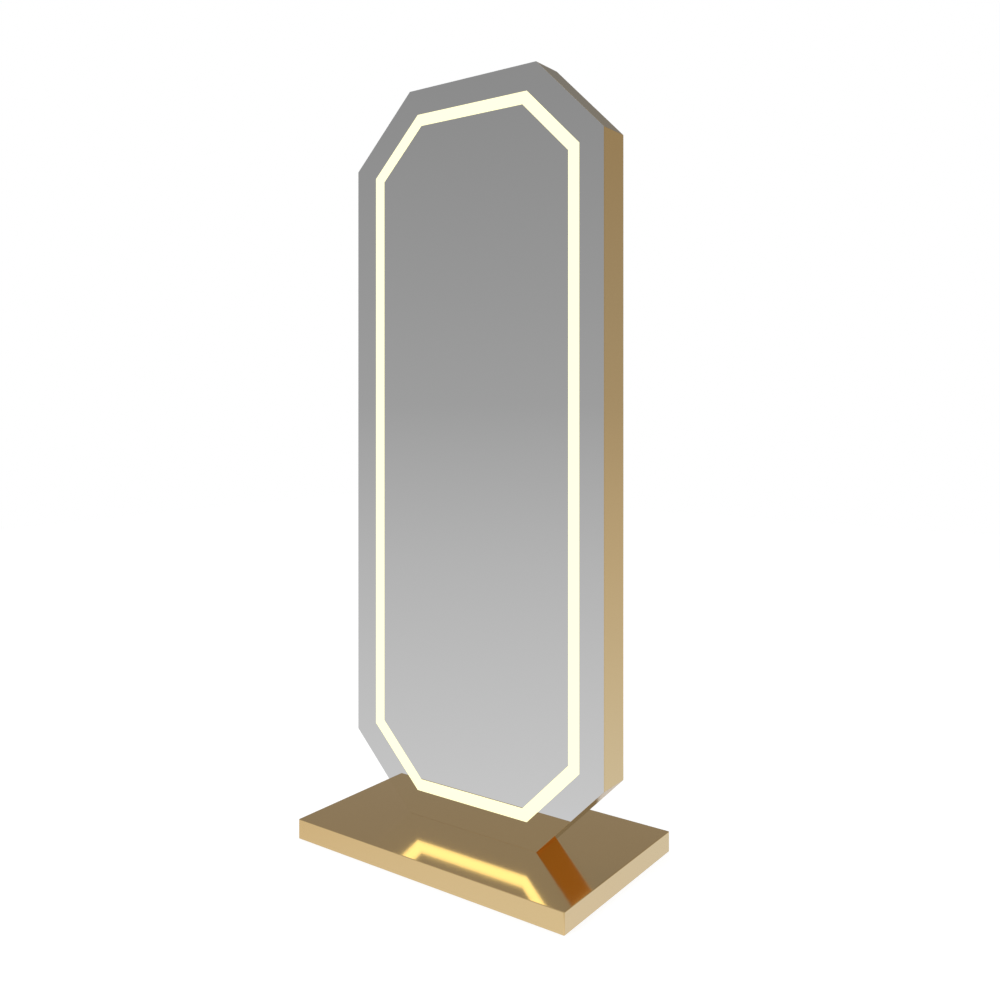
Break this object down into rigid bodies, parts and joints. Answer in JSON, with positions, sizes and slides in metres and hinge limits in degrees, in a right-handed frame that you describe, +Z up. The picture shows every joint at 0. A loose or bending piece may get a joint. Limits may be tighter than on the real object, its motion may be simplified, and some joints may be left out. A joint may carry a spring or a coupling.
{
  "type": "freestanding mirror",
  "caption": "Tall freestanding salon mirror with cut corners and a lit band, in a deep polished gold casing on a gold slab base.",
  "frame": {"origin": "on the floor, in the middle of the base's footprint", "axes": "the mirror faces -Y, +X is to the right seen from the front, +Z is up"},
  "size_m": [0.77, 0.47, 1.848],
  "materials": {
    "gold_steel": "mirror-polished gold-coated stainless steel",
    "mirror_glass": "silvered float glass",
    "opal_acrylic": "opal acrylic, lit from behind",
    "routed_board": "medium density fibreboard, sanded",
    "aluminium": "mill finish extrusion",
    "light_strip": "white solder mask",
    "frame_steel": "primed welded steel",
    "zinc_steel": "zinc plated",
    "black_steel": "matt black powder coat",
    "driver_case": "moulded, fine grain",
    "terminal_plastic": "moulded nylon",
    "switch_plastic": "moulded, satin",
    "blade_brass": "plain",
    "gland_plastic": "moulded nylon",
    "black_rubber": "moulded",
    "foam_tape": "closed-cell foam sheet",
    "lead_plastic": "extruded insulation"
  },
  "bodies": {
    "mirror": {"casing_wrap": "gold_steel", "casing_flange": "gold_steel", "base_cover": "gold_steel", "mirror_surround": "mirror_glass", "mirror_centre": "mirror_glass", "light_diffuser": "opal_acrylic", "backing_board": "routed_board", "light_channels": "aluminium", "light_strips": "light_strip", "perimeter_frame": "frame_steel", "uprights": "frame_steel", "cross_rails": "frame_steel", "side_arms": "frame_steel", "foot_plate": "frame_steel", "base_frame": "frame_steel", "tie_plate": "frame_steel", "ballast_plate": "frame_steel", "board_screws": "zinc_steel", "cover_screws": "zinc_steel", "driver_plate": "zinc_steel", "driver_plate_screws": "zinc_steel", "driver_screws": "zinc_steel", "foot_screws": "zinc_steel", "tie_bolts": "zinc_steel", "tie_washers": "zinc_steel", "back_cover": "black_steel", "underplate": "black_steel", "light_driver": "driver_case", "terminal_block": "terminal_plastic", "switch_body": "switch_plastic", "switch_terminals": "blade_brass", "gland_body": "gland_plastic", "gland_nut": "gland_plastic", "gland_locknut": "gland_plastic", "gland_seal": "black_rubber", "rubber_feet": "black_rubber", "foam_pad": "foam_tape", "switch_leads": "lead_plastic", "driver_leads": "lead_plastic", "light_leads": "lead_plastic"},
    "rocker": {"switch_rocker": "switch_plastic"}
  },
  "joints": [
    {"name": "rocker_tilt", "type": "hinge", "parent": "mirror", "child": "rocker", "pos_m": [-0.05, 0.0455, 0.138], "axis": [-1, 0, 0], "range_deg": [0, 20]}
  ]
}
